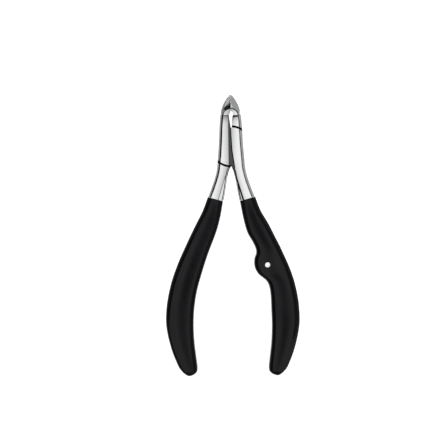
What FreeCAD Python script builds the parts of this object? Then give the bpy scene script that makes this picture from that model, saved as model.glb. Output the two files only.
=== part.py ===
import FreeCAD, Part
import math
import os

# Cuticle nipper: two crossed forged levers on one pivot screw, each with a moulded grip.
# Frame: the tool lies flat. The origin is on the pivot axis at the flat back of the joint,
# +Y runs to the jaw tips, +X to the right-hand grip and +Z out of the front face.
# Each lever carries one jaw and, across the pivot, the handle on the other side.

Vec = FreeCAD.Vector
FRONT_JAW_SIDE = -1  # the front lever's jaw is on the -X side, its handle on the +X side
BACK_JAW_SIDE = 1

SIZES = {
    # the lap joint
    "joint_thickness": 7.0,
    "lap_gap": 0.04,
    "plate_radius": 8.05,
    "shoulder_radius": 8.95,
    "edge_round": 1.5,
    "crotch_round": 0.9,
    "bite_gap": 0.02,
    # the jaws
    "neck_end": 13.4,
    "mouth_half_width": 3.0,
    "mouth_reach": 2.6,
    "mouth_depth": 2.3,
    "mouth_draft": 11.0,
    "lip_width": 0.9,
    "relief_radius": 1.7,
    # the sight groove down the front plate
    "groove_depth": 0.8,
    # the tang inside each grip
    "tang_thickness": 4.0,
    # the grips
    "boss_radius": 5.2,
    "boss_thickness": 9.8,
    "boss_round": 2.2,
    "lace_hole_radius": 1.1,
    # the pivot
    "screw_head_radius": 2.8,
    "screw_head_height": 1.1,
    "screw_head_recess": 0.1,
    "screw_slot_width": 0.8,
    "screw_slot_depth": 0.6,
    "bearing_radius": 2.0,
    "thread_radius": 1.75,
    "thread_length": 2.2,
    "thread_clearance": 0.01,
    "thread_chamfer": 0.3,
    "washer_thickness": 0.3,
    "bearing_clearance": 0.05,
    "seat_clearance": 0.1,
}

OVERSHOOT = 1.0  # how far a cutting sketch runs past the face that it cuts
MIN_CUT = 0.01  # cubic millimetres; a cut that removes less has missed

# Half-plan of one lever, in x outwards from the centre line and y along the tool.
FLANK_JAW = [(5.83, -5.77), (5.28, 0.0), (4.95, 6.8), (4.42, 13.4)]
FLANK_ARM = [(4.93, 6.55), (5.28, 0.0), (5.72, -5.1), (6.1, -9.4), (7.4, -14.5), (9.95, -21.45)]
CROTCH = [(3.5, -23.2), (2.65, -19.7), (1.56, -12.8), (0.95, -10.2), (-0.25, -8.0)]
CROTCH_REACH = 0.85  # how far the bottom of the crotch runs past the centre line
# a point on each of the plate's two arcs, in degrees
UPPER_ARC_MIDDLE = 72
LOWER_ARC_MIDDLE = -65
# the edges to round are longer than this, and the crotch's lie closer to the centre line
LONG_EDGE = 12.0
CROTCH_HALF_WIDTH = 4.5

# Jaw sections: reach along y, half-width, bottom and top height, corner radius.
# The first lies inside the neck and a little within it, so the ground jaw steps out of it.
JAW_SECTIONS = [
    (12.4, 4.43, 0.08, 6.92, 1.6),
    (14.6, 4.18, 0.22, 6.86, 1.45),
    (16.6, 3.72, 0.7, 6.7, 1.25),
    (18.8, 2.74, 1.6, 6.4, 0.95),
    (20.6, 1.62, 2.6, 6.0, 0.6),
    (22.0, 0.3, 3.5, 5.6, 0.14),
]
# The relief behind the cutting edges is a cone; its axis rises from the neck to the tip.
RELIEF_AXIS = ((0, 11.5, 2.4), (0, 21.6, 4.3))

# The throat's two banks, from the end of the bite down to the joint.
THROAT_LEFT = [(-0.05, 15.5), (-0.3, 14.7), (-0.68, 13.6), (-0.65, 12.0), (-0.36, 10.2), (-0.05, 8.0)]
THROAT_RIGHT = [(0.1, 15.5), (1.0, 14.7), (1.02, 13.6), (0.62, 12.0), (0.5, 10.2), (0.45, 8.0)]

# Planes ground across the jaws, as (reach, (inner x, z), (outer x, z)) at two sections.
# The front jaw is hollowed towards the seam; the back jaw falls away to its outer side.
FRONT_HOLLOW = [
    (14.0, (0.3, 4.72), (-3.2, 6.26)),
    (18.6, (0.3, 5.97), (-3.2, 7.51)),
    (20.8, (0.3, 5.74), (-3.2, 7.28)),
]
BACK_FACET = [(14.0, (1.2, 7.15), (4.6, 6.43)), (21.6, (0.1, 5.72), (3.5, 5.0))]

# The sight groove: reach, left edge, right edge and depth as a share of the full depth.
GROOVE_SECTIONS = [
    (13.0, -1.02, -0.4, 0.3),
    (8.6, -1.15, 0.02, 0.6),
    (-1.5, -1.1, 0.62, 0.85),
    (-9.2, -1.05, 1.75, 1.0),
]

TANG_OUTER = [(8.2, -20.4), (11.7, -31.0), (16.4, -41.5), (20.6, -51.0), (23.2, -61.0), (24.4, -77.0)]
TANG_INNER = [(20.8, -77.2), (19.8, -61.5), (17.2, -52.2), (13.0, -42.8), (8.4, -32.6), (4.6, -21.6)]

# Grip sections across the handle: inner edge, outer edge, half-thickness.
GRIP_TOP = [
    ((3.6, -23.3), (10.1, -21.5), 4.1),
    ((4.9, -30.3), (12.4, -27.5), 4.4),
    ((7.0, -37.2), (15.4, -33.3), 4.7),
]
GRIP_WAIST_PLAIN = [
    ((10.4, -46.0), (19.6, -41.9), 4.9),
    ((13.0, -53.9), (23.4, -50.4), 5.0),
    ((15.1, -61.2), (26.2, -58.5), 5.0),
]
# below the boss the handle is scooped for a finger
GRIP_WAIST_BOSS = [
    ((10.5, -46.0), (19.6, -41.9), 4.9),
    ((13.8, -53.9), (23.6, -50.4), 5.0),
    ((16.0, -61.2), (26.5, -58.5), 5.0),
]
GRIP_TAIL = [
    ((16.5, -68.8), (28.0, -67.4), 5.0),
    ((16.7, -76.0), (28.3, -76.0), 4.9),
    ((16.4, -83.5), (26.4, -85.7), 4.6),
    ((15.6, -90.5), (23.2, -94.0), 4.1),
    ((15.4, -94.6), (20.9, -96.8), 3.2),
    ((15.9, -96.5), (18.9, -97.7), 1.6),
]
SECTION_SQUARENESS = 2.8
SECTION_POINTS = 24
LACE_HOLE = (15.1, -50.6)

doc = FreeCAD.newDocument("cuticle_nipper")


def make_sheet():
    sheet = doc.addObject("Spreadsheet::Sheet", "Sizes")
    for row, (alias, value) in enumerate(SIZES.items(), start=1):
        sheet.set(f"A{row}", alias.replace("_", " "))
        sheet.set(f"B{row}", str(value))
        sheet.setAlias(f"B{row}", alias)
    doc.recompute()
    return sheet


sheet = make_sheet()


def size(alias):
    return float(sheet.get(alias))


def new_body(label):
    body = doc.addObject("PartDesign::Body", label)
    body.Label = label
    body.Placement = FreeCAD.Placement()
    return body


def plane_of(body, role):
    return next(f for f in body.Origin.OriginFeatures if f.Role == role)


def new_sketch(body, name, role, offset=0.0):
    """A sketch on one of the body's origin planes, moved along that plane's normal."""
    sketch = body.newObject("Sketcher::SketchObject", name)
    sketch.AttachmentSupport = (plane_of(body, role), "")
    sketch.MapMode = "FlatFace"
    sketch.AttachmentOffset = FreeCAD.Placement(Vec(0, 0, offset), FreeCAD.Rotation())
    return sketch


def spline(points):
    curve = Part.BSplineCurve()
    curve.interpolate([Vec(x, y, 0) for x, y in points])
    return curve


def line(start, end):
    return Part.LineSegment(Vec(start[0], start[1], 0), Vec(end[0], end[1], 0))


def arc(start, middle, end):
    return Part.Arc(*(Vec(x, y, 0) for x, y in (start, middle, end)))


def circle(centre, radius):
    return Part.Circle(Vec(centre[0], centre[1], 0), Vec(0, 0, 1), radius)


def on_side(points, side):
    return [(side * x, y) for x, y in points]


def add_pad(body, name, sketch, length):
    pad = body.newObject("PartDesign::Pad", name)
    pad.Profile = sketch
    pad.setExpression("Length", length)
    doc.recompute()
    return pad


def check_cut(body, name, before):
    if not body.Shape.Volume < before - MIN_CUT:
        raise RuntimeError(f"{body.Label}: {name} removed nothing")


def add_pocket(body, name, sketch, length=None, both_ways=False):
    """A pocket along the sketch's normal, or to both sides of it; length None cuts right through."""
    before = body.Shape.Volume
    pocket = body.newObject("PartDesign::Pocket", name)
    pocket.Profile = sketch
    pocket.Reversed = True
    pocket.Midplane = both_ways
    if length is None:
        pocket.Type = "ThroughAll"
    else:
        pocket.setExpression("Length", length)
    doc.recompute()
    check_cut(body, name, before)
    return pocket


def add_round(body, name, edges, radius):
    base = body.Tip
    fillet = body.newObject("PartDesign::Fillet", name)
    fillet.Base = (base, edges)
    fillet.setExpression("Radius", radius)
    doc.recompute()
    return fillet


def edges_where(shape, test):
    """Names of the edges whose middle and shape pass the test."""
    names = []
    for number, edge in enumerate(shape.Edges, start=1):
        middle = edge.valueAt((edge.FirstParameter + edge.LastParameter) / 2)
        if test(edge, middle):
            names.append(f"Edge{number}")
    return names


def on_circle(radius, degrees):
    angle = math.radians(degrees)
    return (radius * math.cos(angle), radius * math.sin(angle))


def moved_onto_circle(point, radius):
    scale = radius / math.hypot(*point)
    return (point[0] * scale, point[1] * scale)


def lever_outline(side):
    """The closed plan of a lever up to its neck; side is the side that its jaw is on."""
    radius = size("plate_radius")
    bite = size("bite_gap") / 2
    neck = size("neck_end")
    flank_jaw = on_side(FLANK_JAW, side)
    flank_arm = on_side(FLANK_ARM, -side)
    crotch = on_side(CROTCH, -side)
    top = (side * bite, math.sqrt(radius**2 - bite**2))
    jaw_foot, arm_head = flank_jaw[0], flank_arm[0]
    crotch_end = (side * CROTCH_REACH, -math.sqrt(radius**2 - CROTCH_REACH**2))
    (upper_middle,) = on_side([on_circle(radius, UPPER_ARC_MIDDLE)], -side)
    (lower_middle,) = on_side([on_circle(radius, LOWER_ARC_MIDDLE)], side)
    jaw_foot, arm_head = moved_onto_circle(jaw_foot, radius), moved_onto_circle(arm_head, radius)
    return [
        spline([jaw_foot] + flank_jaw[1:]),
        line(flank_jaw[-1], (side * bite, neck)),
        line((side * bite, neck), top),
        arc(top, upper_middle, arm_head),
        spline([arm_head] + flank_arm[1:]),
        line(flank_arm[-1], crotch[0]),
        spline(crotch),
        line(crotch[-1], crotch_end),
        arc(crotch_end, lower_middle, jaw_foot),
    ]


def jaw_section(side, half_width, low, high, corner):
    """A flat biting face on the centre line and a rounded back, as sketch geometry in x and z."""
    bite = size("bite_gap") / 2
    turn = corner * (1 - math.sqrt(0.5))
    inner, outer = side * bite, side * half_width
    shoulder = side * (half_width - corner)
    bend = side * (half_width - turn)
    return [
        line((inner, low), (shoulder, low)),
        arc((shoulder, low), (bend, low + turn), (outer, low + corner)),
        line((outer, low + corner), (outer, high - corner)),
        arc((outer, high - corner), (bend, high - turn), (shoulder, high)),
        line((shoulder, high), (inner, high)),
        line((inner, high), (inner, low)),
    ]


def add_jaw(body, side):
    sections = []
    for number, (reach, half_width, low, high, corner) in enumerate(JAW_SECTIONS):
        # the XZ plane's normal is -Y, so a section further along +Y has a negative offset
        section = new_sketch(body, f"JawSection{number}", "XZ_Plane", -reach)
        section.addGeometry(jaw_section(side, half_width, low, high, corner))
        sections.append(section)
    doc.recompute()
    jaw = body.newObject("PartDesign::AdditiveLoft", "Jaw")
    jaw.Profile = sections[0]
    jaw.Sections = sections[1:]
    jaw.Ruled = False
    doc.recompute()


def add_tang(body, side):
    """The flat tail of the lever that runs down inside the grip."""
    height = (size("joint_thickness") - size("tang_thickness")) / 2
    sketch = new_sketch(body, "TangPlan", "XY_Plane", height)
    outer, inner = on_side(TANG_OUTER, -side), on_side(TANG_INNER, -side)
    sketch.addGeometry([
        spline(outer),
        line(outer[-1], inner[0]),
        spline(inner),
        line(inner[-1], outer[0]),
    ])
    doc.recompute()
    add_pad(body, "Tang", sketch, "Sizes.tang_thickness")


def cut_lap(body, side):
    """Room for the other lever's plate, on the back of the front lever or the front of the back one."""
    on_front = side == BACK_JAW_SIDE
    plate = (size("joint_thickness") - size("lap_gap")) / 2
    sketch = new_sketch(body, "LapPlan", "XY_Plane", plate if on_front else 0.0)
    sketch.addGeometry(circle((0, 0), size("shoulder_radius")))
    doc.recompute()
    add_pocket(body, "Lap", sketch, "(Sizes.joint_thickness + Sizes.lap_gap) / 2")


def cut_throat(body):
    """The gap between the jaws, from the cutting edges down to the joint."""
    sketch = new_sketch(body, "ThroatPlan", "XY_Plane")
    sketch.addGeometry([
        spline(THROAT_LEFT),
        line(THROAT_LEFT[-1], THROAT_RIGHT[-1]),
        spline(THROAT_RIGHT[::-1]),
        line(THROAT_RIGHT[0], THROAT_LEFT[0]),
    ])
    doc.recompute()
    add_pocket(body, "Throat", sketch)


def cut_mouth(body):
    """The half-round hollow behind the cutting edges, open to the front."""
    neck, half, reach = size("neck_end"), size("mouth_half_width"), size("mouth_reach")
    floor = size("joint_thickness") - size("mouth_depth")
    sketch = new_sketch(body, "MouthPlan", "XY_Plane", floor)
    sketch.addGeometry([
        arc((-half, neck), (0, neck + reach), (half, neck)),
        line((half, neck), (-half, neck)),
    ])
    doc.recompute()
    mouth = add_pocket(body, "Mouth", sketch, "Sizes.mouth_depth")
    mouth.setExpression("TaperAngle", "Sizes.mouth_draft")
    doc.recompute()


def cut_lip(body):
    """The sloping lip where the back lever's face drops into the mouth."""
    top, neck, width = size("joint_thickness"), size("neck_end"), size("lip_width")
    sketch = new_sketch(body, "LipProfile", "YZ_Plane")
    corners = [
        (neck - width - OVERSHOOT, top + OVERSHOOT),
        (neck + OVERSHOOT, top + OVERSHOOT),
        (neck + OVERSHOOT, top - width - OVERSHOOT),
    ]
    sketch.addGeometry([line(a, b) for a, b in zip(corners, corners[1:] + corners[:1])])
    doc.recompute()
    add_pocket(body, "Lip", sketch, "2 * Sizes.mouth_half_width", both_ways=True)


def cut_relief(body):
    """The conical clearance behind the cutting edges, from its wide end to its point."""
    before = body.Shape.Volume
    start, end = (Vec(*point) for point in RELIEF_AXIS)
    axis = end - start
    cone = body.newObject("PartDesign::SubtractiveCone", "Relief")
    cone.setExpression("Radius1", "Sizes.relief_radius")
    cone.Radius2 = 0.0
    cone.Height = axis.Length
    cone.AttachmentSupport = (plane_of(body, "XY_Plane"), "")
    cone.MapMode = "ObjectXY"
    cone.AttachmentOffset = FreeCAD.Placement(start, FreeCAD.Rotation(Vec(0, 0, 1), axis))
    doc.recompute()
    check_cut(body, "Relief", before)


def cut_between(body, name, sections):
    """A ruled cut between polygons in x and z, each given with its reach along y."""
    sketches = []
    for reach, corners in sections:
        sketch = new_sketch(body, f"{name}Section{len(sketches)}", "XZ_Plane", -reach)
        sketch.addGeometry([line(a, b) for a, b in zip(corners, corners[1:] + corners[:1])])
        sketches.append(sketch)
    doc.recompute()
    before = body.Shape.Volume
    cut = body.newObject("PartDesign::SubtractiveLoft", name)
    cut.Profile = sketches[0]
    cut.Sections = sketches[1:]
    cut.Ruled = True
    doc.recompute()
    check_cut(body, name, before)


def cut_jaw_face(body, name, sections):
    """Grind a jaw down to a plane; everything above the two given lines goes."""
    clear = size("joint_thickness") + OVERSHOOT
    cut_between(body, name, [
        (reach, [inner, outer, (outer[0], clear), (inner[0], clear)])
        for reach, inner, outer in sections
    ])


def cut_groove(body):
    """The sight groove down the front plate: it slopes down to a steep wall on its +X side."""
    top, depth = size("joint_thickness"), size("groove_depth")
    above = top + OVERSHOOT
    cut_between(body, "SightGroove", [
        (reach, [(left, top), (left, above), (right, above), (right, top - share * depth)])
        for reach, left, right, share in GROOVE_SECTIONS
    ])


def round_lever(body):
    """Round the long edges of both faces; the ends and the shoulders stay crisp."""
    top = size("joint_thickness")

    def on_face(middle):
        return min(abs(middle.z), abs(middle.z - top)) < 1e-6

    def is_flank(edge, middle):
        return on_face(middle) and edge.Length > LONG_EDGE and abs(middle.x) > CROTCH_HALF_WIDTH

    def is_crotch(edge, middle):
        return on_face(middle) and edge.Length > LONG_EDGE and abs(middle.x) < CROTCH_HALF_WIDTH

    add_round(body, "CrotchRound", edges_where(body.Shape, is_crotch), "Sizes.crotch_round")
    add_round(body, "FlankRound", edges_where(body.Shape, is_flank), "Sizes.edge_round")


def make_lever(label, side):
    body = new_body(label)
    plan = new_sketch(body, "LeverPlan", "XY_Plane")
    plan.addGeometry(lever_outline(side))
    doc.recompute()
    add_pad(body, "Forging", plan, "Sizes.joint_thickness")
    round_lever(body)
    add_jaw(body, side)
    add_tang(body, side)
    cut_lap(body, side)
    cut_throat(body)
    cut_mouth(body)
    cut_relief(body)
    return body


def make_front_lever():
    body = make_lever("front_lever", FRONT_JAW_SIDE)
    cut_jaw_face(body, "Hollow", FRONT_HOLLOW)
    cut_groove(body)
    lap_face = (size("joint_thickness") + size("lap_gap")) / 2
    sketch = new_sketch(body, "ThreadPlan", "XY_Plane", lap_face)
    sketch.addGeometry(circle((0, 0), size("thread_radius")))
    doc.recompute()
    add_pocket(body, "ThreadHole", sketch, "Sizes.thread_length + Sizes.seat_clearance")
    return body


def make_back_lever():
    body = make_lever("back_lever", BACK_JAW_SIDE)
    cut_lip(body)
    cut_jaw_face(body, "Facet", BACK_FACET)
    sketch = new_sketch(body, "BearingPlan", "XY_Plane")
    sketch.addGeometry(circle((0, 0), size("bearing_radius") + size("bearing_clearance")))
    doc.recompute()
    add_pocket(body, "BearingBore", sketch)
    sketch = new_sketch(body, "HeadSeatPlan", "XY_Plane")
    sketch.addGeometry(circle((0, 0), size("screw_head_radius") + size("seat_clearance")))
    doc.recompute()
    add_pocket(
        body, "HeadSeat", sketch,
        "Sizes.screw_head_recess + Sizes.screw_head_height + Sizes.washer_thickness",
    )
    return body


def make_pivot_screw():
    """The slotted pivot screw: its head sits in the back lever, its thread in the front lever."""
    body = new_body("pivot_screw")
    head_base = size("screw_head_recess")
    head_top = head_base + size("screw_head_height")
    lap_face = (size("joint_thickness") + size("lap_gap")) / 2
    thread_end = lap_face + size("thread_length")
    head, bearing = size("screw_head_radius"), size("bearing_radius")
    gap, chamfer = size("thread_clearance"), size("thread_chamfer")
    thread = size("thread_radius") - gap
    profile = [
        (0, head_base), (head, head_base), (head, head_top), (bearing, head_top),
        (bearing, lap_face - gap), (thread, lap_face - gap), (thread, thread_end - chamfer),
        (thread - chamfer, thread_end), (0, thread_end),
    ]
    sketch = new_sketch(body, "ScrewProfile", "XZ_Plane")
    sketch.addGeometry([line(a, b) for a, b in zip(profile, profile[1:] + profile[:1])])
    doc.recompute()
    turned = body.newObject("PartDesign::Revolution", "Turned")
    turned.Profile = sketch
    turned.ReferenceAxis = (sketch, ["V_Axis"])
    turned.Angle = 360.0
    doc.recompute()
    slot = new_sketch(body, "SlotPlan", "XY_Plane", head_base)
    half, end = size("screw_slot_width") / 2, head + OVERSHOOT
    corners = [(-end, -half), (end, -half), (end, half), (-end, half)]
    slot.addGeometry([line(a, b) for a, b in zip(corners, corners[1:] + corners[:1])])
    doc.recompute()
    add_pocket(body, "DriverSlot", slot, "Sizes.screw_slot_depth")
    return body


def make_washer():
    """The thin friction washer between the screw's head and the floor of its seat."""
    body = new_body("friction_washer")
    sketch = new_sketch(
        body, "WasherPlan", "XY_Plane", size("screw_head_recess") + size("screw_head_height")
    )
    sketch.addGeometry([
        circle((0, 0), size("screw_head_radius")),
        circle((0, 0), size("bearing_radius") + size("bearing_clearance")),
    ])
    doc.recompute()
    add_pad(body, "Washer", sketch, "Sizes.washer_thickness")
    return body


def rounded_section(half_width, half_thickness):
    """A closed superellipse: flatter than an ellipse on its broad faces."""
    power = 2 / SECTION_SQUARENESS
    points = []
    for step in range(SECTION_POINTS):
        angle = 2 * math.pi * step / SECTION_POINTS
        across, up = math.cos(angle), math.sin(angle)
        points.append(Vec(
            half_width * math.copysign(abs(across) ** power, across),
            half_thickness * math.copysign(abs(up) ** power, up),
            0,
        ))
    curve = Part.BSplineCurve()
    curve.interpolate(Points=points, PeriodicFlag=True)
    return curve


def add_grip_section(body, number, side, inner, outer, half_thickness):
    """An upright sketch across the handle, its own x running from the inner to the outer edge."""
    start, end = (Vec(side * x, y, size("joint_thickness") / 2) for x, y in (inner, outer))
    across = end - start
    half_width = across.Length / 2
    across.normalize()
    turn = FreeCAD.Rotation(across, Vec(0, 0, 1), across.cross(Vec(0, 0, 1)), "XYZ")
    sketch = new_sketch(body, f"GripSection{number}", "XY_Plane")
    sketch.AttachmentOffset = FreeCAD.Placement((start + end) / 2, turn)
    sketch.addGeometry(rounded_section(half_width, half_thickness))
    return sketch


def make_grip(label, side, with_boss):
    """A moulded grip: side is the side it is on, and the boss carries the lace hole."""
    body = new_body(label)
    waist = GRIP_WAIST_BOSS if with_boss else GRIP_WAIST_PLAIN
    sections = [
        add_grip_section(body, number, side, *section)
        for number, section in enumerate(GRIP_TOP + waist + GRIP_TAIL)
    ]
    doc.recompute()
    moulding = body.newObject("PartDesign::AdditiveLoft", "Moulding")
    moulding.Profile = sections[0]
    moulding.Sections = sections[1:]
    moulding.Ruled = False
    doc.recompute()
    if with_boss:
        add_boss(body, on_side([LACE_HOLE], side)[0])
    add_tang_socket(body, side)
    if with_boss:
        hole = new_sketch(body, "LaceHolePlan", "XY_Plane", -size("joint_thickness"))
        hole.addGeometry(circle(on_side([LACE_HOLE], side)[0], size("lace_hole_radius")))
        doc.recompute()
        add_pocket(body, "LaceHole", hole)
    return body


def add_boss(body, centre):
    """The round boss that swells out of the handle's inner edge."""
    half = size("boss_thickness") / 2
    turn = size("boss_round") * (1 - math.sqrt(0.5))
    radius, corner = size("boss_radius"), size("boss_round")
    sketch = new_sketch(body, "BossProfile", "XZ_Plane", -centre[1])
    x, z = centre[0], size("joint_thickness") / 2
    sketch.addGeometry([
        line((x, z - half), (x + radius - corner, z - half)),
        arc((x + radius - corner, z - half), (x + radius - turn, z - half + turn),
            (x + radius, z - half + corner)),
        line((x + radius, z - half + corner), (x + radius, z + half - corner)),
        arc((x + radius, z + half - corner), (x + radius - turn, z + half - turn),
            (x + radius - corner, z + half)),
        line((x + radius - corner, z + half), (x, z + half)),
        line((x, z + half), (x, z - half)),
    ])
    sketch.addGeometry(line((x, z - half), (x, z + half)), True)
    doc.recompute()
    boss = body.newObject("PartDesign::Revolution", "Boss")
    boss.Profile = sketch
    boss.ReferenceAxis = (sketch, ["Axis0"])
    boss.Angle = 360.0
    doc.recompute()


def add_tang_socket(body, side):
    height = (size("joint_thickness") - size("tang_thickness")) / 2
    sketch = new_sketch(body, "TangSocketPlan", "XY_Plane", height)
    outer, inner = on_side(TANG_OUTER, side), on_side(TANG_INNER, side)
    sketch.addGeometry([
        spline(outer),
        line(outer[-1], inner[0]),
        spline(inner),
        line(inner[-1], outer[0]),
    ])
    doc.recompute()
    add_pocket(body, "TangSocket", sketch, "Sizes.tang_thickness")


def check_and_export(bodies):
    doc.recompute()
    failed = [o.Name for o in doc.Objects if "Invalid" in o.State or "Error" in o.State]
    if failed:
        raise RuntimeError(f"failed features: {failed}")
    for body in bodies:
        shape = body.Shape
        if shape.isNull() or not shape.isValid() or len(shape.Solids) != 1:
            raise RuntimeError(f"{body.Label} is not one valid solid")
    os.makedirs("parts", exist_ok=True)
    for body in bodies:
        body.Shape.exportStep(f"parts/{body.Label}.step")
        print(body.Label, round(body.Shape.Volume, 1), body.Shape.BoundBox)


check_and_export([
    make_front_lever(),
    make_back_lever(),
    make_pivot_screw(),
    make_washer(),
    make_grip("right_grip", 1, with_boss=True),
    make_grip("left_grip", -1, with_boss=False),
])
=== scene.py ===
import math
from collections import namedtuple

import bmesh
import bpy
from mathutils import Matrix, Vector


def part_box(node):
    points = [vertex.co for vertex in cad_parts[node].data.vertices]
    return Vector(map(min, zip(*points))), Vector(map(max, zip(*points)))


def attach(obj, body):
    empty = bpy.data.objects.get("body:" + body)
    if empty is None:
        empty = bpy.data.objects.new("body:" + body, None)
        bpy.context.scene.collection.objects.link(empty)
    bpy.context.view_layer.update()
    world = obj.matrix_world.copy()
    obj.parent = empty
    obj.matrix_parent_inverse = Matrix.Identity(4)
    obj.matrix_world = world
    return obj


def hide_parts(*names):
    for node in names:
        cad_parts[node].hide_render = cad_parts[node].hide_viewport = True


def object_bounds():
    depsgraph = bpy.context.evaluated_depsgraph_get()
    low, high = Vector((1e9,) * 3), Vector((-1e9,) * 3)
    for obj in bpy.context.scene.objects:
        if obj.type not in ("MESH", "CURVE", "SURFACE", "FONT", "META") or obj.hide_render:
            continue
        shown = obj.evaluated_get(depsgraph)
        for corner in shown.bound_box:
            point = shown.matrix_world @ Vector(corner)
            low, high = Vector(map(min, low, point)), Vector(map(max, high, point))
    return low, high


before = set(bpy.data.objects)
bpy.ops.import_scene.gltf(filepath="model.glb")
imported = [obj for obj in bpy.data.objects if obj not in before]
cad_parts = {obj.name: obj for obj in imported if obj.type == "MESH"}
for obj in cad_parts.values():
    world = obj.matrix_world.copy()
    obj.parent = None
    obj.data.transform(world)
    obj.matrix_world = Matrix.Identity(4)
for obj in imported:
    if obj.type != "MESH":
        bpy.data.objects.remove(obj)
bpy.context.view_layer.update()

MM = 0.001
MID_PLANE = sum(corner[2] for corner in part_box("front_lever")) / 2  # where the two plates lap


# ---------------------------------------------------------------- node helpers

def new_material(name):
    material = bpy.data.materials.new(name)
    material.use_nodes = True
    tree = material.node_tree
    tree.nodes.clear()
    output = tree.nodes.new("ShaderNodeOutputMaterial")
    shader = tree.nodes.new("ShaderNodeBsdfPrincipled")
    tree.links.new(shader.outputs["BSDF"], output.inputs["Surface"])
    return material, tree, shader


def feed(tree, socket, value):
    """Give a socket a number, a colour or another node's output."""
    if isinstance(value, (int, float)):
        socket.default_value = value
    elif isinstance(value, tuple):
        socket.default_value = (*value, 1)
    else:
        tree.links.new(value, socket)


def math_node(tree, operation, first, second=0.0):
    node = tree.nodes.new("ShaderNodeMath")
    node.operation = operation
    feed(tree, node.inputs[0], first)
    feed(tree, node.inputs[1], second)
    return node.outputs[0]


def plus(tree, first, second):
    return math_node(tree, "ADD", first, second)


def minus(tree, first, second):
    return math_node(tree, "SUBTRACT", first, second)


def times(tree, *values):
    product = values[0]
    for value in values[1:]:
        product = math_node(tree, "MULTIPLY", product, value)
    return product


def largest(tree, *values):
    result = values[0]
    for value in values[1:]:
        result = math_node(tree, "MAXIMUM", result, value)
    return result


def size_of(tree, value):
    return math_node(tree, "ABSOLUTE", value)


def map_range(tree, value, low, high, to_low=0.0, to_high=1.0):
    node = tree.nodes.new("ShaderNodeMapRange")
    node.interpolation_type = "SMOOTHSTEP"
    tree.links.new(value, node.inputs["Value"])
    node.inputs["From Min"].default_value = low
    node.inputs["From Max"].default_value = high
    node.inputs["To Min"].default_value = to_low
    node.inputs["To Max"].default_value = to_high
    return node.outputs["Result"]


def is_below(tree, value, limit, soft):
    """1 where value is under the limit, 0 above it, and a smooth step in between."""
    return map_range(tree, value, limit - soft, limit + soft, 1.0, 0.0)


def is_above(tree, value, limit, soft):
    return map_range(tree, value, limit - soft, limit + soft)


def texture_coordinate(tree, kind):
    """One of the texture coordinates, whole and split into X, Y and Z."""
    coords = tree.nodes.new("ShaderNodeTexCoord")
    split = tree.nodes.new("ShaderNodeSeparateXYZ")
    tree.links.new(coords.outputs[kind], split.inputs[0])
    return coords.outputs[kind], split.outputs


def stretched_noise(tree, vector, stretch, scale, detail):
    mapping = tree.nodes.new("ShaderNodeMapping")
    mapping.inputs["Scale"].default_value = stretch
    tree.links.new(vector, mapping.inputs["Vector"])
    noise = tree.nodes.new("ShaderNodeTexNoise")
    noise.inputs["Scale"].default_value = scale
    noise.inputs["Detail"].default_value = detail
    tree.links.new(mapping.outputs[0], noise.inputs["Vector"])
    return noise.outputs["Fac"]


def mix_values(tree, factor, first, second):
    node = tree.nodes.new("ShaderNodeMix")
    node.data_type = "FLOAT"
    feed(tree, node.inputs[0], factor)
    feed(tree, node.inputs[2], first)
    feed(tree, node.inputs[3], second)
    return node.outputs[0]


def mix_colours(tree, factor, first, second):
    node = tree.nodes.new("ShaderNodeMix")
    node.data_type = "RGBA"
    feed(tree, node.inputs[0], factor)
    feed(tree, node.inputs[6], first)
    feed(tree, node.inputs[7], second)
    return node.outputs[2]


def bump(tree, shader, height, strength, distance, under=None):
    """Small marks on the shader's surface, on top of the normal in under."""
    node = tree.nodes.new("ShaderNodeBump")
    node.inputs["Strength"].default_value = strength
    node.inputs["Distance"].default_value = distance
    tree.links.new(height, node.inputs["Height"])
    if under is not None:
        tree.links.new(under, node.inputs["Normal"])
    tree.links.new(node.outputs[0], shader.inputs["Normal"])


def bump_normal(tree, height, where):
    """The normal of a surface raised by this height, in metres, where the mask is 1."""
    node = tree.nodes.new("ShaderNodeBump")
    node.inputs["Strength"].default_value = 1.0
    node.inputs["Distance"].default_value = 1.0
    tree.links.new(height, node.inputs["Height"])
    plain = tree.nodes.new("ShaderNodeNewGeometry")
    mix = tree.nodes.new("ShaderNodeMix")
    mix.data_type = "VECTOR"
    tree.links.new(where, mix.inputs[0])
    tree.links.new(plain.outputs["Normal"], mix.inputs[4])
    tree.links.new(node.outputs[0], mix.inputs[5])
    unit = tree.nodes.new("ShaderNodeVectorMath")
    unit.operation = "NORMALIZE"
    tree.links.new(mix.outputs[1], unit.inputs[0])
    return unit.outputs[0]


# ---------------------------------------------------------------- the levers' steel

POLISHED = (0.875, 0.878, 0.88)
# painted shade: a darker base colour on the polished sides that turn away from the light
FLANK_SHADE = (0.26, 0.263, 0.267)  # the polished sides, which turn away from the light
GROUND = (0.55, 0.555, 0.56)  # the jaws
# painted shade: the next two are darker copies of the jaws' grey, where they face right and, darker
# still, left
JAW_SHADE_RIGHT = (0.44, 0.443, 0.447)  # where they face right
JAW_SHADE_LEFT = (0.20, 0.203, 0.207)  # and left
# painted shade: a darker base colour on the groove's sloping sides
GROOVE_SHADE = (0.68, 0.683, 0.686)
# painted shade: near black in the front jaw's scoop beside the seam
JAW_HOLLOW_SHADE = (0.04, 0.04, 0.041)
# painted shade: near black on the lap faces, the walls of the gaps and the mouth's steps
GAP_SHADE = (0.012, 0.012, 0.0125)
# painted shade: greyer tones on the flats inside the arms, lighter on the left arm than on the
# right
LEFT_FLAT_SHADE = (0.77, 0.773, 0.776)
RIGHT_FLAT_SHADE = (0.72, 0.723, 0.726)
# painted shade: the fine dark line along each flat's edge
EDGE_SHADE_LINE = (0.03, 0.03, 0.031)
# roughness of the places darkened with painted shade
PAINTED_DARK_ROUGHNESS = 0.5
JAW_METALLIC = 0.6

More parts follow.
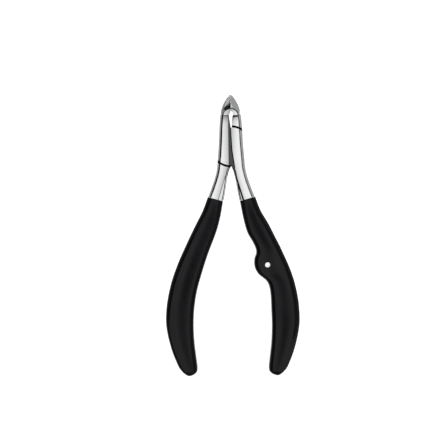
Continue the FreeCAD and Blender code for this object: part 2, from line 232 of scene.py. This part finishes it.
# Heights from the pivot, where the forging changes.
CROTCH = -9.0 * MM  # above it, walls on both sides face into the joint's own gaps
NECK_END = 13.4 * MM  # where the joint's polished block ends and the ground jaw begins
STEPS_START = NECK_END - 1.4 * MM  # the short steps that face the mouth
HOLLOW_START = 15.3 * MM  # the front jaw's hollow, which is shallower towards the tip
# the painted shade there fades towards the tip, down to this share
HOLLOW_FADE = (16.8 * MM, 19.0 * MM)
HOLLOW_AT_TIP = 0.35

# How level a surface is, as the upward part of its normal.
LEVEL = 0.985
GROOVE_SIDE = 0.88
FLANK_LIMIT = 0.86
WALL_LIMIT = 0.80

GROOVE_HALF = 1.95 * MM
LAP_DEPTH = 0.08 * MM  # how near the middle plane a lap face is

# The faces are very slightly crowned.
FACE_EDGE = 5.3 * MM  # half-width of the polished faces near the pivot
FACE_SPREAD = 0.27  # how fast they spread down the arms
ARMS_START = -6.0 * MM
NECK_TURN = 9.5 * MM  # where the faces begin to fall towards the jaws
CROWN = 11.5  # how strongly they are crowned, per metre

# The flats inside the arms, which widen down to the grips.
FLATS_START = -12.2 * MM
FLATS_SPREAD = 0.306
LEFT_FLAT_START = 2.40 * MM  # their edge's distance from the centre line, at the top
RIGHT_FLAT_START = 1.80 * MM
# the fine line along each flat's edge is painted shade
LEFT_LINE_HALF = 0.11 * MM  # half-width of the fine line along that edge
RIGHT_LINE_HALF = 0.38 * MM


def flats_inside_arms(tree, axes, across, left_arm):
    """Masks of the flats inside the arms, and of the fine line of painted shade that bounds each.
    """
    down = minus(tree, FLATS_START, axes["Y"])
    start = mix_values(tree, left_arm, RIGHT_FLAT_START, LEFT_FLAT_START)
    past_line = minus(tree, plus(tree, times(tree, down, FLATS_SPREAD), start), across)
    line_half = mix_values(tree, left_arm, RIGHT_LINE_HALF, LEFT_LINE_HALF)
    off_line = minus(tree, size_of(tree, past_line), line_half)
    on_arms = is_above(tree, down, 0.3 * MM, 0.3 * MM)
    flat = times(tree, on_arms, is_above(tree, past_line, 0.1 * MM, 0.05 * MM))
    edge_shade_line = times(tree, on_arms, is_below(tree, off_line, 0.0, 0.05 * MM))
    return flat, edge_shade_line


def ground_jaw(tree, normal, tilt, past_neck):
    """Mask of the satin jaws, whose faces slope to the tip or are scooped behind the edges."""
    sloping = is_above(tree, normal["Y"], 0.035, 0.02)
    scooped = times(tree, is_below(tree, normal["Y"], -0.1, 0.05), is_below(tree, tilt, 0.6, 0.05))
    return times(tree, past_neck, largest(tree, sloping, scooped))


def shade_in_gaps(tree, axes, normal, tilt, above_crotch, not_flat):
    """Mask of the painted shade on what sees almost no light: lap faces, walls of the gaps, steps
    of the mouth.
    """
    depth = size_of(tree, minus(tree, axes["Z"], MID_PLANE))
    lap = times(tree, is_below(tree, depth, LAP_DEPTH, 0.02 * MM), is_above(tree, tilt, 0.9, 0.02))
    # walls that face the centre line or the jaws, in the throat, the mouth and the groove
    outward = times(tree, math_node(tree, "SIGN", axes["X"]), normal["X"])
    right_arm = is_above(tree, axes["X"], 0.4 * MM, 0.1 * MM)
    walls = times(
        tree,
        is_below(tree, outward, 0.08, 0.03),
        is_below(tree, tilt, WALL_LIMIT, 0.04),
        largest(tree, above_crotch, right_arm),
        is_below(tree, axes["Y"], NECK_END + 0.1 * MM, 0.1 * MM),
        not_flat,
    )
    steps = times(
        tree,
        is_above(tree, normal["Y"], 0.5, 0.05),
        is_above(tree, axes["Y"], STEPS_START, 0.1 * MM),
        is_below(tree, axes["Y"], NECK_END + 0.05 * MM, 0.05 * MM),
    )
    return largest(tree, lap, walls, steps)


def shade_in_jaw_hollow(tree, axes, normal, past_neck):
    """Mask of the painted shade in the front jaw's scoop, beside the seam between the jaws."""
    return times(
        tree,
        past_neck,
        is_below(tree, axes["X"], -0.15 * MM, 0.05 * MM),
        is_above(tree, normal["X"], 0.3, 0.04),
        is_above(tree, axes["Y"], HOLLOW_START, 0.4 * MM),
        map_range(tree, axes["Y"], *HOLLOW_FADE, 1.0, HOLLOW_AT_TIP),
    )


def crowned_faces(tree, axes, across, level):
    """The level faces' normal: they are crowned, so they darken towards the middle of the tool."""
    arms = largest(tree, minus(tree, ARMS_START, axes["Y"]), 0.0)
    edge = plus(tree, times(tree, arms, FACE_SPREAD), FACE_EDGE)
    inset = minus(tree, edge, across)
    up_neck = minus(tree, math_node(tree, "MINIMUM", axes["Y"], NECK_END), NECK_TURN)
    fall = largest(tree, up_neck, 0.0)
    squares = plus(tree, times(tree, inset, inset), times(tree, fall, fall))
    return bump_normal(tree, times(tree, squares, -CROWN), level)


def polished_steel():
    """Mirror-polished forging and satin ground jaws, with painted shade in the base colour:
    near-black walls inside every gap, and darker tones on the turned-away sides, the jaws' sides,
    the central channel, the front jaw's scoop, the arms' flats and their edge lines.
    """
    material, tree, shader = new_material("polished_steel")
    vector, axes = texture_coordinate(tree, "Object")
    _, normal = texture_coordinate(tree, "Normal")
    hairlines = stretched_noise(tree, vector, (9.0, 0.35, 9.0), 900.0, 3.0)
    grinding = stretched_noise(tree, vector, (1.2, 12.0, 1.2), 900.0, 3.0)
    clouding = stretched_noise(tree, vector, (1.0, 1.0, 1.0), 160.0, 2.0)

    across = size_of(tree, axes["X"])
    tilt = size_of(tree, normal["Z"])
    left_arm = is_below(tree, axes["X"], -0.4 * MM, 0.1 * MM)
    above_crotch = is_above(tree, axes["Y"], CROTCH, 0.3 * MM)
    past_neck = is_above(tree, axes["Y"], NECK_END + 0.2 * MM, 0.2 * MM)
    flat, edge_shade_line = flats_inside_arms(tree, axes, across, left_arm)
    not_flat = minus(tree, 1.0, flat)
    jaw = ground_jaw(tree, normal, tilt, past_neck)
    # painted shade on the jaws: darker where they face right, darker still where they face left
    jaw_shaded_right = times(tree, jaw, is_above(tree, normal["X"], 0.12, 0.04))
    jaw_shaded_left = times(tree, jaw, is_below(tree, normal["X"], -0.35, 0.08))
    # painted shade in the front jaw's scoop
    shaded_hollow = shade_in_jaw_hollow(tree, axes, normal, past_neck)
    # painted shade in the gaps and recesses
    gap_shade_mask = shade_in_gaps(tree, axes, normal, tilt, above_crotch, not_flat)
    # painted shade on the steep sides, by how far their normal turns from straight up
    shaded_flank = is_below(tree, tilt, FLANK_LIMIT, 0.04)
    level = times(tree, is_above(tree, normal["Z"], LEVEL, 0.004), not_flat)
    # painted shade in the groove along the centre line
    shaded_groove = times(
        tree,
        is_below(tree, normal["Z"], LEVEL, 0.004),
        is_above(tree, normal["Z"], GROOVE_SIDE, 0.01),
        is_below(tree, across, GROOVE_HALF, 0.05 * MM),
        above_crotch,
        is_below(tree, axes["Y"], NECK_END, 0.1 * MM),
    )

    # each layer covers the ones before it; all but the ground jaws are painted shade
    # painted shade on the flats, by arm
    flat_shade = mix_colours(tree, left_arm, RIGHT_FLAT_SHADE, LEFT_FLAT_SHADE)
    colour = mix_colours(tree, shaded_flank, POLISHED, FLANK_SHADE)
    for mask, layer in (
        (flat, flat_shade), (shaded_groove, GROOVE_SHADE), (jaw, GROUND), (jaw_shaded_right, JAW_SHADE_RIGHT),
        (jaw_shaded_left, JAW_SHADE_LEFT), (shaded_hollow, JAW_HOLLOW_SHADE), (edge_shade_line, EDGE_SHADE_LINE), (gap_shade_mask, GAP_SHADE),
    ):
        colour = mix_colours(tree, mask, colour, layer)
    tree.links.new(colour, shader.inputs["Base Color"])

    polished = map_range(tree, hairlines, 0.3, 0.7, 0.05, 0.10)
    ground = map_range(tree, grinding, 0.3, 0.7, 0.24, 0.34)
    rough = mix_values(tree, jaw, polished, ground)
    rough = plus(tree, rough, map_range(tree, clouding, 0.35, 0.75, 0.0, 0.03))
    # the places with painted shade in gaps, in the jaw's scoop and on the edge lines are also made
    # rough
    painted_dark = largest(tree, gap_shade_mask, shaded_hollow, edge_shade_line)
    rough = mix_values(tree, painted_dark, rough, PAINTED_DARK_ROUGHNESS)
    tree.links.new(rough, shader.inputs["Roughness"])
    tree.links.new(mix_values(tree, jaw, 1.0, JAW_METALLIC), shader.inputs["Metallic"])

    crowned = crowned_faces(tree, axes, across, level)
    marks = mix_values(tree, jaw, times(tree, hairlines, 0.25), grinding)
    bump(tree, shader, marks, 0.07, 0.02 * MM, crowned)
    return material


# ---------------------------------------------------------------- the other materials

RING_SPACING = 0.12 * MM  # of the turning marks on the screw


def turned_steel():
    """The screw: rings from turning and a slightly duller face."""
    material, tree, shader = new_material("turned_steel")
    vector, axes = texture_coordinate(tree, "Object")
    squares = plus(tree, times(tree, axes["X"], axes["X"]), times(tree, axes["Y"], axes["Y"]))
    radius = math_node(tree, "SQRT", squares)
    rings = math_node(tree, "SINE", times(tree, radius, 2 * math.pi / RING_SPACING))
    grain = stretched_noise(tree, vector, (1.0, 1.0, 1.0), 2500.0, 3.0)
    rough = map_range(tree, grain, 0.3, 0.7, 0.22, 0.34)
    tree.links.new(rough, shader.inputs["Roughness"])
    shader.inputs["Base Color"].default_value = (0.66, 0.665, 0.67, 1)
    shader.inputs["Metallic"].default_value = 1.0
    bump(tree, shader, plus(tree, rings, grain), 0.15, 0.01 * MM)
    return material


def bronze():
    """The washer: bronze with a faint uneven stain."""
    material, tree, shader = new_material("washer_bronze")
    vector, _ = texture_coordinate(tree, "Object")
    stain = stretched_noise(tree, vector, (1.0, 1.0, 1.0), 700.0, 4.0)
    stained = map_range(tree, stain, 0.35, 0.65)
    colour = mix_colours(tree, stained, (0.58, 0.41, 0.20), (0.42, 0.28, 0.13))
    tree.links.new(colour, shader.inputs["Base Color"])
    tree.links.new(map_range(tree, stain, 0.3, 0.7, 0.25, 0.42), shader.inputs["Roughness"])
    shader.inputs["Metallic"].default_value = 1.0
    return material


def soft_touch():
    """Black soft-touch moulding: a very fine grain and a faint uneven sheen."""
    material, tree, shader = new_material("soft_touch_black")
    vector, _ = texture_coordinate(tree, "Object")
    _, normal = texture_coordinate(tree, "Normal")
    grain = stretched_noise(tree, vector, (1.0, 1.0, 1.0), 6500.0, 3.0)
    handling = stretched_noise(tree, vector, (1.0, 0.4, 1.0), 110.0, 4.0)
    handled = map_range(tree, handling, 0.3, 0.75)
    colour = mix_colours(tree, handled, (0.0015, 0.0015, 0.0021), (0.0028, 0.0028, 0.0036))
    tree.links.new(colour, shader.inputs["Base Color"])
    rough = plus(
        tree,
        map_range(tree, handling, 0.3, 0.75, 0.24, 0.30),
        map_range(tree, grain, 0.3, 0.7, -0.02, 0.03),
    )
    tree.links.new(rough, shader.inputs["Roughness"])
    # painted shade: the rounded sides shine far less than the broad faces, as Metallic rises where
    # the normal turns from straight up and the black base colour then damps their reflection
    facing = size_of(tree, normal["Z"])
    tree.links.new(map_range(tree, facing, 0.86, 0.975, 0.6, 0.0), shader.inputs["Metallic"])
    shader.inputs["Specular IOR Level"].default_value = 0.31
    bump(tree, shader, grain, 0.10, 0.02 * MM)
    return material


# ---------------------------------------------------------------- the metal pieces

def dress(node, material):
    """Give a CAD piece its material."""
    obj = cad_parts[node]
    obj.data.materials.clear()
    obj.data.materials.append(material)


STEEL = polished_steel()
GRIP = soft_touch()
dress("front_lever", STEEL)
dress("back_lever", STEEL)
dress("pivot_screw", turned_steel())
dress("friction_washer", bronze())


# ---------------------------------------------------------------- the moulded grips

# Stations down a grip, in millimetres from the pivot, x outwards: outer edge, inner edge,
# half-thickness, depth of the long waist on the broad face, depth of the inner bead's crease.
TOP_STATIONS = [
    ((10.1, -21.5), (3.6, -23.3), 4.1, 0.10, 0.0),
    ((12.4, -27.5), (4.9, -30.3), 4.4, 0.40, 0.0),
]
LEFT_WAIST = [
    ((15.4, -33.3), (6.7, -36.6), 4.7, 0.55, 0.0),
    ((19.6, -41.9), (10.2, -45.6), 4.9, 0.60, 0.0),
    ((23.4, -50.4), (12.9, -53.7), 5.0, 0.65, 0.05),
    ((26.2, -58.5), (15.0, -61.0), 5.0, 0.65, 0.12),
    ((28.0, -67.4), (16.3, -68.6), 5.0, 0.65, 0.15),
]
RIGHT_WAIST = [  # with the boss on its inner side
    ((15.7, -33.2), (6.6, -36.6), 4.7, 0.50, 0.0),
    ((18.5, -38.9), (8.9, -40.8), 4.85, 0.50, 0.0),
    ((20.2, -42.2), (10.2, -43.8), 4.9, 0.45, 0.12),
    ((21.4, -44.9), (10.3, -45.6), 4.9, 0.42, 0.30),
    ((22.5, -47.3), (9.6, -47.6), 4.95, 0.42, 0.20),
    ((23.5, -49.6), (9.4, -49.8), 5.0, 0.42, 0.10),
    ((24.4, -51.8), (9.9, -52.3), 5.0, 0.42, 0.06),
    ((25.1, -53.7), (11.2, -54.5), 5.0, 0.42, 0.04),
    ((25.6, -55.2), (12.9, -55.9), 5.0, 0.43, 0.04),
    ((26.2, -57.1), (14.6, -57.4), 5.0, 0.45, 0.05),
    ((26.8, -59.5), (15.7, -59.6), 5.0, 0.46, 0.08),
    ((27.6, -63.4), (16.3, -63.4), 5.0, 0.50, 0.10),
    ((28.2, -68.0), (16.5, -68.6), 5.0, 0.50, 0.12),
]
TAIL_STATIONS = [
    ((28.3, -76.0), (16.7, -76.0), 4.9, 0.60, 0.12),
    ((26.3, -85.6), (16.4, -83.5), 4.85, 0.50, 0.06),
    ((23.2, -93.6), (15.5, -91.2), 4.8, 0.35, 0.0),
    ((21.6, -95.8), (15.2, -94.2), 4.8, 0.25, 0.0),
    ((20.3, -96.9), (15.4, -95.7), 4.7, 0.1, 0.0),
    ((19.3, -97.5), (16.5, -96.8), 4.2, 0.0, 0.0),
    ((18.6, -97.7), (17.7, -97.5), 2.6, 0.0, 0.0),
]
STATION_SPACING = 0.7

# The cross-section, in millimetres.
ROUND_TURNS = 9  # facets of each rounded edge
FACE_STRIPS = 60  # and of the broad face between them
INNER_ROUND = 2.0
MOST_OF_WIDTH = 0.3  # most that a rounding takes of the width
MOST_OF_HALF = 0.6  # and of the half-thickness
WAIST_WIDTH = 0.50  # as a share of the width
INNER_BEAD = 0.85
INNER_CREASE_WIDTH = 0.24
PLAIN_UNDER = 3.6  # a half-thickness under this has plain edges
PLAIN_FADE = 0.6
BEAD_WIDTH = 0.85
STEP_WIDTH = 1.25
SHOULDER_WIDTH = 1.8

LACE_HOLE = (15.1, -50.6, 1.1)  # place and radius, as on the CAD boss
HOLE_SIDES = 64
CUTTER_LENGTH = 40.0
SHARP_ANGLE = 40  # degrees; smaller ones are shaded smooth

# A grip's outer edge: its rounding, where the waist starts as a share of the width, how far
# the edge falls below the broad face, where that has faded out towards the tail and over
# what length, and the shape of the fall.
EdgeStyle = namedtuple("EdgeStyle", "rounding waist_start fall fall_end fall_fade shape")


def step_to_bead(distance):
    """A step down to a bead along the edge: 1 on the bead, 0 on the broad face."""
    return min(max((BEAD_WIDTH + STEP_WIDTH - distance) / STEP_WIDTH, 0.0), 1.0)


def sloping_shoulder(distance):
    """A plain slope: how far it is to the broad face."""
    return max(SHOULDER_WIDTH - distance, 0.0)


RIGHT_EDGE = EdgeStyle(0.35, 0.26, 0.45, -90.0, 22.0, step_to_bead)
LEFT_EDGE = EdgeStyle(1.2, 0.34, 0.36, -84.0, 26.0, sloping_shoulder)


def along_stations(stations):
    """Evenly spaced stations on a smooth curve through the given ones."""
    knots = [Vector((*outer, *inner, *rest)) for outer, inner, *rest in stations]
    places = [0.0]
    for a, b in zip(knots, knots[1:]):
        outer_run = (b.xy - a.xy).length
        inner_run = (Vector(b[2:4]) - Vector(a[2:4])).length
        places.append(places[-1] + (outer_run + inner_run) / 2)
    last = len(knots) - 1
    slopes = []
    for i in range(len(knots)):
        before, after = max(i - 1, 0), min(i + 1, last)
        slopes.append((knots[after] - knots[before]) / (places[after] - places[before]))
    result = []
    for i in range(last):
        gap = places[i + 1] - places[i]
        steps = max(2, round(gap / STATION_SPACING))
        for step in range(steps):
            t = step / steps
            result.append(
                knots[i] * (2 * t**3 - 3 * t**2 + 1) + slopes[i] * gap * (t**3 - 2 * t**2 + t)
                + knots[i + 1] * (3 * t**2 - 2 * t**3) + slopes[i + 1] * gap * (t**3 - t**2)
            )
    result.append(knots[last])
    return result


def smooth_step(value):
    value = min(max(value, 0.0), 1.0)
    return value * value * (3 - 2 * value)


def dip(distance, place, width):
    return math.exp(-(((distance - place) / width) ** 2))


def plain_section(width, half, outer, inner):
    """From the outer wall over the broad face to the inner wall: (distance inwards, height)."""
    points = [(0.0, 0.0), (0.0, 0.5 * (half - outer))]
    for step in range(ROUND_TURNS):
        angle = 0.5 * math.pi * step / ROUND_TURNS
        points.append((outer * (1 - math.cos(angle)), half - outer * (1 - math.sin(angle))))
    for step in range(FACE_STRIPS + 1):
        points.append((outer + (width - outer - inner) * step / FACE_STRIPS, half))
    for step in range(ROUND_TURNS - 1, -1, -1):
        angle = 0.5 * math.pi * step / ROUND_TURNS
        points.append((width - inner * (1 - math.cos(angle)), half - inner * (1 - math.sin(angle))))
    return points + [(width, 0.5 * (half - inner)), (width, 0.0)]


def half_section(width, half, waist, inner_crease, edge, edge_fall):
    """The plain section with the waist, the outer edge's fall and the inner crease taken off."""
    most = min(MOST_OF_WIDTH * width, MOST_OF_HALF * half)
    plain = plain_section(width, half, min(edge.rounding, most), min(INNER_ROUND, most))
    detail = smooth_step((half - PLAIN_UNDER) / PLAIN_FADE)
    shaped = []
    for distance, height in plain:
        lowered = waist * smooth_step((distance / width - edge.waist_start) / WAIST_WIDTH)
        lowered += edge_fall * detail * edge.shape(distance)
        lowered += inner_crease * dip(width - distance, INNER_BEAD, INNER_CREASE_WIDTH)
        shaped.append((distance, height - lowered * (height / half) ** 4))
    return shaped


def make_grip(name, side, stations, edge):
    """A closed shell through rings across the grip; side is 1 for right and -1 for left."""
    mesh = bpy.data.meshes.new(name)
    shape = bmesh.new()
    rings = []
    for station in along_stations(stations):
        outer, inner = Vector(station[0:2]), Vector(station[2:4])
        half, waist, inner_crease = station[4:7]
        across = inner - outer
        width = across.length
        across.normalize()
        edge_fall = edge.fall * smooth_step((outer.y - edge.fall_end) / edge.fall_fade)
        upper = half_section(width, half, waist, inner_crease, edge, edge_fall)
        ring = upper + [(distance, -height) for distance, height in upper[-2:0:-1]]
        rings.append([
            shape.verts.new((
                side * (outer.x + across.x * distance) * MM,
                (outer.y + across.y * distance) * MM,
                MID_PLANE + height * MM,
            ))
            for distance, height in ring
        ])
    for first, second in zip(rings, rings[1:]):
        for i in range(len(first)):
            j = (i + 1) % len(first)
            shape.faces.new((first[i], first[j], second[j], second[i]))
    shape.faces.new(rings[0])
    shape.faces.new(rings[-1])
    bmesh.ops.recalc_face_normals(shape, faces=shape.faces)
    shape.to_mesh(mesh)
    shape.free()
    grip = bpy.data.objects.new(name, mesh)
    bpy.context.scene.collection.objects.link(grip)
    return grip


def drill(piece, x, y, radius):
    """A round hole through a piece along Z, cut with a boolean."""
    shape = bmesh.new()
    bmesh.ops.create_cone(
        shape, cap_ends=True, segments=HOLE_SIDES, radius1=radius, radius2=radius,
        depth=CUTTER_LENGTH * MM, matrix=Matrix.Translation((x, y, MID_PLANE)),
    )
    mesh = bpy.data.meshes.new("drill")
    shape.to_mesh(mesh)
    shape.free()
    cutter = bpy.data.objects.new("drill", mesh)
    bpy.context.scene.collection.objects.link(cutter)
    cut = piece.modifiers.new("lace_hole", "BOOLEAN")
    cut.operation = "DIFFERENCE"
    cut.solver = "EXACT"
    cut.object = cutter
    bpy.context.view_layer.update()
    whole = piece.evaluated_get(bpy.context.evaluated_depsgraph_get())
    drilled = bpy.data.meshes.new_from_object(whole)
    piece.modifiers.clear()
    piece.data = drilled
    bpy.data.objects.remove(cutter)


def finish_grip(grip, node, body):
    """Give a grip its material and smooth shading, and let it stand for its CAD piece."""
    grip.data.materials.clear()
    grip.data.materials.append(GRIP)
    grip.data.polygons.foreach_set("use_smooth", [True] * len(grip.data.polygons))
    grip.data.set_sharp_from_angle(angle=math.radians(SHARP_ANGLE))
    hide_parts(node)
    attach(grip, body)


right_stations = TOP_STATIONS + RIGHT_WAIST + TAIL_STATIONS
right_shell = make_grip("right_grip_moulding", 1, right_stations, RIGHT_EDGE)
drill(right_shell, *(value * MM for value in LACE_HOLE))
finish_grip(right_shell, "right_grip", "front_half")
left_stations = TOP_STATIONS + LEFT_WAIST + TAIL_STATIONS
left_shell = make_grip("left_grip_moulding", -1, left_stations, LEFT_EDGE)
finish_grip(left_shell, "left_grip", "back_half")


# ---------------------------------------------------------------- floor, light and camera

# Brightness by height, from the horizon (0) to straight up (1).
LEFT_SKY = [
    (0.0, 1.0), (0.38, 1.0), (0.44, 0.45), (0.50, 0.0),
    (0.96, 0.0), (0.976, 0.65), (0.993, 1.0),
]
RIGHT_SKY = [
    (0.0, 1.0), (0.46, 1.0), (0.54, 0.80), (0.62, 0.10),
    (0.955, 0.10), (0.985, 0.70), (0.997, 1.0),
]
SKY_BLEND = 0.12  # how far to each side the two skies run into each other

FLOOR_HALF = 4.0  # metres
FLOOR_GAP = 0.02 * MM
FLOOR_GREY = 0.30
FLOOR_GLOW = 0.95

SOFTBOX_SIZE = (0.5, 0.4)
SOFTBOX_AIM = (0, -0.03, 0)

LENS = 135.0
SENSOR = 36.0
VIEW_WIDTH = 191.4 * MM  # what the view takes in, at the height of the lap
VIEW_CENTRE = Vector((-3.3, -33.0)) * MM
VIEW_TURN = math.radians(-0.6)


def make_floor():
    """A pale floor just under the object, bright enough to be nearly white."""
    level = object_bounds()[0][2] - FLOOR_GAP
    mesh = bpy.data.meshes.new("floor")
    corners = [(-1, -1), (1, -1), (1, 1), (-1, 1)]
    mesh.from_pydata(
        [(x * FLOOR_HALF, y * FLOOR_HALF, level) for x, y in corners], [], [(0, 1, 2, 3)]
    )
    floor = bpy.data.objects.new("floor", mesh)
    bpy.context.scene.collection.objects.link(floor)
    material, _, shader = new_material("pale_floor")
    shader.inputs["Base Color"].default_value = (FLOOR_GREY, FLOOR_GREY, FLOOR_GREY, 1)
    shader.inputs["Roughness"].default_value = 0.8
    shader.inputs["Emission Color"].default_value = (1, 1, 1, 1)
    shader.inputs["Emission Strength"].default_value = FLOOR_GLOW
    mesh.materials.append(material)


def ramp_over(tree, height, stops):
    """A grey ramp over the height of a direction, from 0 at the horizon to 1 straight up."""
    ramp = tree.nodes.new("ShaderNodeValToRGB")
    tree.links.new(height, ramp.inputs[0])
    while len(ramp.color_ramp.elements) < len(stops):
        ramp.color_ramp.elements.new(0.5)
    for element, (position, level) in zip(ramp.color_ramp.elements, stops):
        element.position = position
        element.color = (level, level, level, 1)
    return ramp.outputs[0]


def make_world():
    """A studio: a bright panel straight up, black flags on the left, grey ones on the right."""
    world = bpy.data.worlds.new("studio")
    bpy.context.scene.world = world
    world.use_nodes = True
    tree = world.node_tree
    tree.nodes.clear()
    output = tree.nodes.new("ShaderNodeOutputWorld")
    background = tree.nodes.new("ShaderNodeBackground")
    _, direction = texture_coordinate(tree, "Generated")
    left = ramp_over(tree, direction["Z"], LEFT_SKY)
    right = ramp_over(tree, direction["Z"], RIGHT_SKY)
    side = map_range(tree, direction["X"], -SKY_BLEND, SKY_BLEND)
    tree.links.new(mix_colours(tree, side, left, right), background.inputs[0])
    tree.links.new(background.outputs[0], output.inputs[0])


def softbox(name, place, power):
    data = bpy.data.lights.new(name, "AREA")
    data.shape = "RECTANGLE"
    data.size, data.size_y = SOFTBOX_SIZE
    data.energy = power
    light = bpy.data.objects.new(name, data)
    light.visible_glossy = False  # the steel mirrors only the studio's own panels and flags
    light.location = place
    aim = Vector(SOFTBOX_AIM) - Vector(place)
    light.rotation_euler = aim.to_track_quat("-Z", "Y").to_euler()
    bpy.context.scene.collection.objects.link(light)


def make_camera():
    """A long lens straight above the tool, turned a little."""
    data = bpy.data.cameras.new("camera")
    data.lens = LENS
    data.sensor_width = SENSOR
    camera = bpy.data.objects.new("camera", data)
    distance = VIEW_WIDTH * LENS / SENSOR
    camera.location = (VIEW_CENTRE.x, VIEW_CENTRE.y, MID_PLANE + distance)
    camera.rotation_euler = (0.0, 0.0, VIEW_TURN)
    bpy.context.scene.collection.objects.link(camera)
    bpy.context.scene.camera = camera


make_floor()
make_world()
softbox("key", (-0.25, 0.35, 0.95), 9.0)
softbox("fill", (0.35, -0.25, 0.95), 5.0)
make_camera()
bpy.context.scene.view_settings.view_transform = "Standard"
